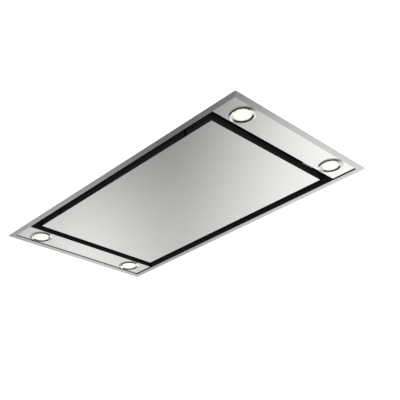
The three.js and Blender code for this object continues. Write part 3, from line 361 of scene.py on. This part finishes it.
NODE_FINISHES = {
    "trim_frame": "trim_steel", "canopy_frame": "canopy_coat", "canopy_deck": "canopy_coat",
    "light_plate_left": "plate_steel", "light_plate_right": "plate_steel",
    "panel_face": "panel_steel", "panel_liner": "liner_coat",
    "housing_body": "galvanised", "housing_cover": "galvanised",
    "scroll_wrap": "galvanised", "scroll_side_left": "galvanised", "scroll_side_right": "galvanised",
    "impeller": "grey_plastic", "motor": "motor_enamel", "motor_spider": "galvanised",
    "outlet_collar": "black_plastic", "flap_front": "grey_plastic", "flap_back": "grey_plastic",
    "flap_pin": "polished_steel", "control_box": "galvanised", "control_cover": "galvanised",
    "cable_gland": "black_plastic", "led_driver": "grey_plastic",
}
for side in SIDES:
    NODE_FINISHES[f"hinge_bracket_{side}"] = "canopy_coat"
    NODE_FINISHES[f"hinge_arm_{side}"] = "canopy_coat"
    NODE_FINISHES[f"hinge_pin_{side}"] = "polished_steel"
    NODE_FINISHES[f"catch_clip_{side}"] = "spring_steel"
    NODE_FINISHES[f"catch_stud_{side}"] = "polished_steel"
    NODE_FINISHES[f"filter_frame_{side}"] = "aluminium"
    NODE_FINISHES[f"filter_mesh_{side}"] = "filter_mesh"
    NODE_FINISHES[f"filter_knob_{side}"] = "black_plastic"
for corner in CORNERS:
    NODE_FINISHES[f"lamp_bezel_{corner}"] = "polished_steel"
    NODE_FINISHES[f"lamp_housing_{corner}"] = "aluminium"
    NODE_FINISHES[f"ceiling_clamp_{corner}"] = "galvanised"
    NODE_FINISHES[f"clamp_screw_{corner}"] = "polished_steel"


def paint(piece, material):
    piece.data.materials.clear()
    piece.data.materials.append(material)


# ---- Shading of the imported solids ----

BEND = math.radians(28)


def soft_shading():
    """A modifier tree that welds a solid's faces and shades its curved parts smooth."""
    tree = bpy.data.node_groups.new("soft_shading", "GeometryNodeTree")
    tree.interface.new_socket("Geometry", in_out="INPUT", socket_type="NodeSocketGeometry")
    tree.interface.new_socket("Geometry", in_out="OUTPUT", socket_type="NodeSocketGeometry")
    steps = Wiring(tree)
    body = steps.node("NodeGroupInput")
    plain = steps.node("GeometryNodeRemoveAttribute", {}, {"Geometry": body, "Name": "custom_normal"})
    whole = steps.node("GeometryNodeMergeByDistance", {}, {"Geometry": plain, "Distance": 0.00001})
    smooth = steps.node("GeometryNodeSetShadeSmooth", {"domain": "FACE"},
                        {"Geometry": whole, "Shade Smooth": True})
    angle = steps.node("GeometryNodeInputMeshEdgeAngle", output="Unsigned Angle")
    flatter = steps.node("FunctionNodeCompare", {"operation": "LESS_THAN"}, {0: angle, 1: BEND})
    creased = steps.node("GeometryNodeSetShadeSmooth", {"domain": "EDGE"},
                         {"Geometry": smooth, "Shade Smooth": flatter})
    steps.node("NodeGroupOutput", {}, {0: creased})
    return tree


SOFT_SHADING = soft_shading()


def shade_soft(piece):
    modifier = piece.modifiers.new("soft_shading", "NODES")
    modifier.node_group = SOFT_SHADING


def ease_edges(piece, width):
    """Rounds a sheet's or a box's sharp edges a little, so that they catch the light."""
    weld = piece.modifiers.new("weld", "WELD")
    weld.merge_threshold = 0.00001
    bevel = piece.modifiers.new("eased_edges", "BEVEL")
    bevel.width = width
    bevel.segments = 2
    bevel.limit_method = "ANGLE"
    bevel.angle_limit = math.radians(40)
    bevel.harden_normals = True


EASED = {"led_driver": 0.0015, "control_box": 0.0005, "control_cover": 0.0005, "housing_cover": 0.0004,
         "filter_frame_left": 0.0006, "filter_frame_right": 0.0006}

for name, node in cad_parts.items():
    if name in NODE_FINISHES:
        paint(node, FINISHES[NODE_FINISHES[name]])
    if name in EASED:
        ease_edges(node, EASED[name])
    elif not name.startswith("filter_mesh"):
        shade_soft(node)


# ---- Meshes ----


def turned(mesh, profile, place=Matrix(), sides=48):
    """A profile of (radius, height) points turned about Z. A radius may be a function of the angle."""
    rings = []
    for radius, height in profile:
        if radius == 0:
            rings.append([mesh.verts.new(place @ Vector((0, 0, height)))])
            continue
        ring = []
        for k in range(sides):
            angle = 2 * math.pi * k / sides
            reach = radius(angle) if callable(radius) else radius
            ring.append(mesh.verts.new(place @ Vector((reach * math.cos(angle), reach * math.sin(angle), height))))
        rings.append(ring)
    for low, high in zip(rings, rings[1:]):
        stitch(mesh, low, high)


def stitch(mesh, low, high):
    """Faces between two rings of corners. A ring of one corner is a point."""
    count = max(len(low), len(high))
    for k in range(count):
        after = (k + 1) % count
        corners = [low[k % len(low)], low[after % len(low)], high[after % len(high)], high[k % len(high)]]
        unique = list(dict.fromkeys(corners))
        if len(unique) > 2:
            mesh.faces.new(unique)


def piece(name, mesh, body, finish, slot, bend=30):
    """A new object from a bmesh, which rides on a body and is shaded smooth up to the bend in degrees."""
    bmesh.ops.recalc_face_normals(mesh, faces=mesh.faces)
    data = bpy.data.meshes.new(name)
    mesh.to_mesh(data)
    mesh.free()
    data.polygons.foreach_set("use_smooth", [True] * len(data.polygons))
    data.set_sharp_from_angle(angle=math.radians(bend))
    made = bpy.data.objects.new(name, data)
    bpy.context.scene.collection.objects.link(made)
    data.materials.append(finish)
    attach(made, body)
    return made


# ---- Lamps ----

FACE_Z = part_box("panel_face")[0].z


# The bezel's crown as (radius, height) in millimetres: two flat cones with a soft ridge and eased edges.
RING_CROWN = ((22.0, -0.5), (22.15, -0.9), (22.5, -1.25), (23.0, -1.45), (26.4, -2.7), (26.9, -2.85), (27.4, -2.9),
              (27.9, -2.85), (28.4, -2.7), (31.4, -1.55), (31.9, -1.3), (32.3, -0.95), (32.5, -0.6), (32.5, -0.3))


def lamp(corner):
    low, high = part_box(f"lamp_bezel_{corner}")
    centre = Vector(((low.x + high.x) / 2, (low.y + high.y) / 2, FACE_Z))
    place = Matrix.Translation(centre)

    ring = bmesh.new()
    turned(ring, [(r * MM, z * MM) for r, z in RING_CROWN + (
        (28.2, -0.3), (28.2, 11.0), (27.0, 11.0), (27.0, -0.2), (22.0, -0.2), RING_CROWN[0])], place, 64)
    made = piece(f"bezel_{corner}", ring, "hood", FINISHES["bezel_chrome"], "polished_steel", 40)
    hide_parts(f"lamp_bezel_{corner}")

    disc = bmesh.new()
    turned(disc, [(r * MM, z * MM) for r, z in (
        (0.0, -0.35), (12.0, -0.30), (18.0, -0.22), (21.8, -0.1), (22.0, 0.1), (26.7, 0.1), (26.7, 1.9),
        (0.0, 1.9))],
        place, 64)
    made = piece(f"lens_{corner}", disc, "hood", frosted_lens(f"frosted_lens_{corner}", tuple(centre)),
                 "lamp_glass", 60)
    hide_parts(f"lamp_lens_{corner}")


for corner in CORNERS:
    lamp(corner)


# ---- Screws and rivets ----


def cross(length, half_width):
    """The edge of a cross-shaped recess, as a radius at each angle."""
    def radius(angle):
        c = max(abs(math.cos(angle)), 1e-6)
        s = max(abs(math.sin(angle)), 1e-6)
        return max(min(length / c, half_width / s), min(half_width / c, length / s))
    return radius


def pan_head(size):
    """A domed screw head on its washer face, with a cross recess that narrows as it goes down."""
    mouth, floor = cross(0.56 * size, 0.15 * size), cross(0.34 * size, 0.10 * size)
    return ((size, 0.0), (1.02 * size, 0.22 * size), (0.97 * size, 0.42 * size), (0.84 * size, 0.56 * size),
            (0.68 * size, 0.62 * size), (mouth, 0.62 * size), (floor, 0.20 * size), (0, 0.17 * size))


def blind_rivet(size):
    """A low dome with the broken stem sunk in its middle."""
    return ((size, 0.0), (size, 0.12 * size), (0.86 * size, 0.32 * size), (0.60 * size, 0.44 * size),
            (0.36 * size, 0.47 * size), (0.32 * size, 0.30 * size), (0.22 * size, 0.34 * size), (0, 0.36 * size))


def fixings(name, body, shape, size, spots, down=False, finish="polished_steel"):
    """A set of alike fixings, as one piece. Each stands on its spot, each screw turned a little differently."""
    mesh = bmesh.new()
    for count, (x, y, z) in enumerate(spots):
        place = Matrix.Translation((x * MM, y * MM, z * MM)) @ Matrix.Rotation(1.9 * count, 4, "Z")
        if down:
            place = place @ Matrix.Rotation(math.pi, 4, "X")
        turned(mesh, shape(size * MM), place, 40)
    return piece(name, mesh, body, FINISHES[finish], "polished_steel", 38)


def top_of(node):
    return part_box(node)[1].z / MM


def four(x, y, z, centre=(0, 0)):
    return [(centre[0] + sx * x, centre[1] + sy * y, z) for sx in (-1, 1) for sy in (-1, 1)]


deck_top = top_of("canopy_deck")
fixings("deck_screws", "hood", pan_head, 3.6,
        [(x, side * 222, deck_top) for x in (-400, -240, -80, 80, 240, 400) for side in (-1, 1)]
        + four(425, 150, deck_top))
fixings("housing_rivets", "hood", blind_rivet, 3.2,
        [(x, side * 201, deck_top + 1.3) for x in (-270, -162, -54, 54, 162, 270) for side in (-1, 1)]
        + [(side * 301, y, deck_top + 1.3) for y in (-120, -40, 40, 120) for side in (-1, 1)])
cover_top = top_of("housing_cover")
fixings("cover_screws", "hood", pan_head, 3.2,
        [(x, side * 201, cover_top) for x in (-280, -140, 0, 140, 280) for side in (-1, 1)]
        + [(side * 301, y, cover_top) for y in (-100, 0, 100) for side in (-1, 1)])
low, high = (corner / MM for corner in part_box("control_cover"))
fixings("control_screws", "hood", pan_head, 2.6,
        [(x, y, high.z) for x in (low.x + 8, high.x - 8) for y in (low.y + 8, high.y - 8)])
low, high = (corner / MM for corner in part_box("outlet_collar"))
fixings("collar_screws", "hood", pan_head, 2.8,
        four(80, 80, low.z + 1.2, ((low.x + high.x) / 2, (low.y + high.y) / 2)))
low, high = (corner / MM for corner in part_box("led_driver"))
fixings("driver_screws", "hood", pan_head, 2.8,
        [((low.x + high.x) / 2, y, low.z + 2) for y in (low.y + 6, high.y - 6)])
for side in SIDES:
    low, high = (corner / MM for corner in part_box(f"filter_frame_{side}"))
    fixings(f"filter_rivets_{side}", f"filter_{side}", blind_rivet, 2.4,
            [(x, y, low.z) for x in (low.x + 6, high.x - 6) for y in (low.y + 12, high.y - 6)], down=True)


# ---- Folded sheet details on the housing ----

# Millimetres, as all of this part.
HOUSING_FLANGE = 12                   # the cover reaches this far past the walls
LAP_WIDTH, LAP_SHEET = 18, 0.8
SWAGE_WIDTH, SWAGE_HEIGHT = 12, 1.6
SWAGE_LEVELS = (-70, 0, 70)           # from the middle of a wall


def corner_laps():
    """Angles of sheet that lap the housing's upright corners, each held by blind rivets."""
    laps, rivets = bmesh.new(), bmesh.new()
    low, high = (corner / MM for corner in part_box("housing_cover"))
    half_x, half_y = high.x - HOUSING_FLANGE, high.y - HOUSING_FLANGE
    foot, head = deck_top + 2, low.z - 4
    for sx in (-1, 1):
        for sy in (-1, 1):
            outline = ((0, 0), (-LAP_WIDTH, 0), (-LAP_WIDTH, LAP_SHEET), (LAP_SHEET, LAP_SHEET),
                       (LAP_SHEET, -LAP_WIDTH), (0, -LAP_WIDTH))
            rings = [[laps.verts.new((sx * (half_x + x) * MM, sy * (half_y + y) * MM, z * MM))
                      for x, y in outline] for z in (foot, head)]
            stitch(laps, *rings)
            for ring in rings:
                laps.faces.new(ring)
            for count in range(5):
                z = foot + (head - foot) * (count + 0.5) / 5
                for spot, axis in (((half_x - LAP_WIDTH / 2, half_y + LAP_SHEET), (0, sy, 0)),
                                   ((half_x + LAP_SHEET, half_y - LAP_WIDTH / 2), (sx, 0, 0))):
                    place = Matrix.Translation((sx * spot[0] * MM, sy * spot[1] * MM, z * MM))
                    turned(rivets, blind_rivet(2.8 * MM),
                           place @ Vector(axis).to_track_quat("Z", "Y").to_matrix().to_4x4(), 32)
    piece("corner_laps", laps, "hood", FINISHES["galvanised"], "galvanised")
    piece("lap_rivets", rivets, "hood", FINISHES["polished_steel"], "polished_steel", 38)


def swage(mesh, place, length, width, height):
    """A long rounded rib pressed out of a sheet, along X of its place."""
    rings = []
    for share, rise in ((1.0, 0.0), (0.86, 0.38), (0.62, 0.76), (0.30, 0.97)):
        radius = share * width / 2
        ring = []
        for end in (1, -1):
            for step in range(9):
                angle = math.radians(-90 + 22.5 * step)
                x, y = end * (length / 2 - width / 2 + radius * math.cos(angle)), end * radius * math.sin(angle)
                ring.append(mesh.verts.new(place @ Vector((x * MM, y * MM, rise * height * MM))))
        rings.append(ring)
    for low, high in zip(rings, rings[1:]):
        stitch(mesh, low, high)
    mesh.faces.new(rings[0])
    mesh.faces.new(rings[-1])


def housing_swages():
    """Stiffening ribs on the housing's four walls."""
    mesh = bmesh.new()
    low, high = (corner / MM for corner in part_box("housing_cover"))
    middle = (deck_top + low.z) / 2
    for half, across, length in ((high.y - HOUSING_FLANGE, Vector((0, 1, 0)), 500),
                                 (high.x - HOUSING_FLANGE, Vector((1, 0, 0)), 300)):
        for side in (-1, 1):
            out = side * across
            along = Vector((0, 0, 1)).cross(out)
            for level in SWAGE_LEVELS:
                place = Matrix((along, out.cross(along), out)).transposed().to_4x4()
                place.translation = (out * half + Vector((0, 0, middle + level))) * MM
                swage(mesh, place, length, SWAGE_WIDTH, SWAGE_HEIGHT)
    piece("housing_swages", mesh, "hood", FINISHES["galvanised"], "galvanised", 50)


corner_laps()
housing_swages()


# ---- Stage ----

BOARD = 0.0125
CUT_X, CUT_Y = 0.439, 0.239


def ceiling_board():
    """The plain white ceiling that the hood hangs in, which is also the floor for views from above."""
    mesh = bmesh.new()
    reach = 30.0
    rings = []
    for x, y in ((CUT_X, CUT_Y), (reach, reach)):
        for z in (0.0, BOARD):
            rings.append([mesh.verts.new((sx * x, sy * y, z))
                          for sx, sy in ((-1, -1), (1, -1), (1, 1), (-1, 1))])
    inner_low, inner_high, outer_low, outer_high = rings
    for first, second in ((inner_low, outer_low), (outer_low, outer_high), (outer_high, inner_high),
                          (inner_high, inner_low)):
        stitch(mesh, first, second)
    bmesh.ops.recalc_face_normals(mesh, faces=mesh.faces)
    data = bpy.data.meshes.new("ceiling_board")
    mesh.to_mesh(data)
    mesh.free()
    board = bpy.data.objects.new("ceiling_board", data)
    bpy.context.scene.collection.objects.link(board)
    white = Finish("white_board", Emission_Strength=0.45, Roughness=0.9)
    rays = white.node("ShaderNodeLightPath")
    shown = Channel(white, rays.socket.node.outputs["Is Camera Ray"])
    data.materials.append(white.surface(
        Base_Color=grey(0.86), Emission_Color=white.blend(shown, grey(0.0), grey(1.0))))


def studio_light():
    """White round the camera's view. As a light and in reflections it has soft darker and brighter bands."""
    sky = bpy.data.worlds.new("studio_light")
    bpy.context.scene.world = sky
    sky.use_nodes = True
    wiring = Wiring(sky.node_tree)
    ray = wiring.node("ShaderNodeLightPath").socket.node.outputs
    toward = wiring.node("ShaderNodeTexCoord", output="Generated")
    x, y, z = (wiring.node("ShaderNodeSeparateXYZ", {}, {0: toward}, axis) for axis in "XYZ")
    turn = wiring.node("ShaderNodeMath", {"operation": "ARCTAN2"}, {0: y, 1: x}) * (0.5 / math.pi) + 0.5
    low, steep = (wiring.node("ShaderNodeValToRGB", {"stops": [
        (angle / 360 + 0.5, grey(level / BRIGHTEST)) for angle, level in bands]}, {"Fac": turn}, "Color")
        for bands in (LOW_BANDS, STEEP_BANDS))
    dip = wiring.node("ShaderNodeMapRange", {"interpolation_type": "SMOOTHSTEP"},
                      {"Value": z, "From Min": LOW_END, "From Max": STEEP_START})
    band = wiring.node("ShaderNodeMix", {"data_type": "RGBA"}, {0: dip, 6: low, 7: steep}, 2)
    level = BRIGHTEST * wiring.node("ShaderNodeMapRange", {"interpolation_type": "SMOOTHSTEP"},
                                    {"Value": z, "From Min": STEEP_START, "From Max": FLOOR_START,
                                     "To Min": 1.0, "To Max": FLOOR_LEVEL})
    for centre, inner, outer in DARK_PATCHES:
        near = wiring.node("ShaderNodeVectorMath", {"operation": "DOT_PRODUCT"},
                           {0: toward, 1: Vector(centre).normalized()}, "Value")
        shade = wiring.node("ShaderNodeMapRange", {"interpolation_type": "SMOOTHSTEP"},
                            {"Value": near, "From Min": math.cos(math.radians(outer)),
                             "From Max": math.cos(math.radians(inner)), "To Min": 1.0, "To Max": 0.03})
        level = level * shade
    shine = wiring.node("ShaderNodeVectorMath", {"operation": "SCALE"}, {0: band, "Scale": level})
    metal = wiring.node("ShaderNodeBackground", {}, {"Color": shine, "Strength": 1.0})
    light = wiring.node("ShaderNodeBackground", {}, {"Color": grey(1.0), "Strength": 0.75})
    shown = wiring.node("ShaderNodeBackground", {}, {"Color": grey(1.0), "Strength": 1.0})
    lit = wiring.node("ShaderNodeMixShader", {}, {0: Channel(wiring, ray["Is Glossy Ray"]), 1: light, 2: metal})
    clear = Channel(wiring, ray["Is Camera Ray"]) + Channel(wiring, ray["Is Transmission Ray"])
    both = wiring.node("ShaderNodeMixShader", {}, {0: clear, 1: lit, 2: shown})
    wiring.node("ShaderNodeOutputWorld", {}, {"Surface": both})


# Soft panels of light round the hood, by the angle from +X in degrees: near the horizon, and well below it.
BRIGHTEST = 1.6
LOW_BANDS = ((-180, 0.45), (-150, 0.9), (-45, 0.9), (100, 0.7), (113, 1.2), (125, 1.3), (135, 0.75), (144, 1.35),
             (153, 0.6), (164, 0.15), (180, 0.45))
STEEP_BANDS = ((-180, 0.65), (-130, 0.9), (-85, 0.5), (-45, 0.9), (90, 0.6), (104, 0.85), (112, 1.6), (119, 1.6),
               (127, 0.85), (135, 0.2), (145, 0.4), (155, 0.8), (180, 0.65))
FLOOR_LEVEL = 0.5                     # how much of that is left straight below
# Directions' heights between which the bands change over and the floor takes over.
LOW_END, STEEP_START, FLOOR_START = -0.40, -0.60, -0.74
# Dark patches: towards where, and the degrees from there at which they start to fade and end.
DARK_PATCHES = (((-0.28, 0.33, -0.90), 22, 28), ((-0.64, 0.26, -0.72), 11, 17), ((-0.61, 0.79, 0.0), 10, 15))


def softbox(name, place, target, size, power):
    lamp_data = bpy.data.lights.new(name, "AREA")
    lamp_data.shape = "RECTANGLE"
    lamp_data.size, lamp_data.size_y = size
    lamp_data.energy = power
    made = bpy.data.objects.new(name, lamp_data)
    made.location = place
    made.rotation_euler = (Vector(target) - Vector(place)).to_track_quat("-Z", "Y").to_euler()
    made.visible_camera = False
    made.visible_glossy = False
    bpy.context.scene.collection.objects.link(made)


ceiling_board()
studio_light()
softbox("light_above", (1.6, -1.8, 2.6), (0, 0, 0.2), (2.4, 2.4), 60)
softbox("light_below", (1.8, -2.2, -1.6), (0, 0, 0), (2.0, 2.0), 25)


# ---- Camera ----

IMAGE = 400
FOCUS_PX = 705.2
CENTRE_PX = 180
CAMERA_PLACE = (1.20957, -1.2069, -0.93923)
CAMERA_TURN = (0.473721, 0.788557, 0.348431, 0.179896)


def camera():
    data = bpy.data.cameras.new("camera")
    data.sensor_width = 36
    data.lens = FOCUS_PX / IMAGE * data.sensor_width
    data.shift_x = 0.5 - CENTRE_PX / IMAGE
    data.clip_start, data.clip_end = 0.01, 100
    made = bpy.data.objects.new("camera", data)
    made.location = CAMERA_PLACE
    made.rotation_mode = "QUATERNION"
    made.rotation_quaternion = CAMERA_TURN
    bpy.context.scene.collection.objects.link(made)
    bpy.context.scene.camera = made


camera()

bpy.context.scene.view_settings.view_transform = "Standard"
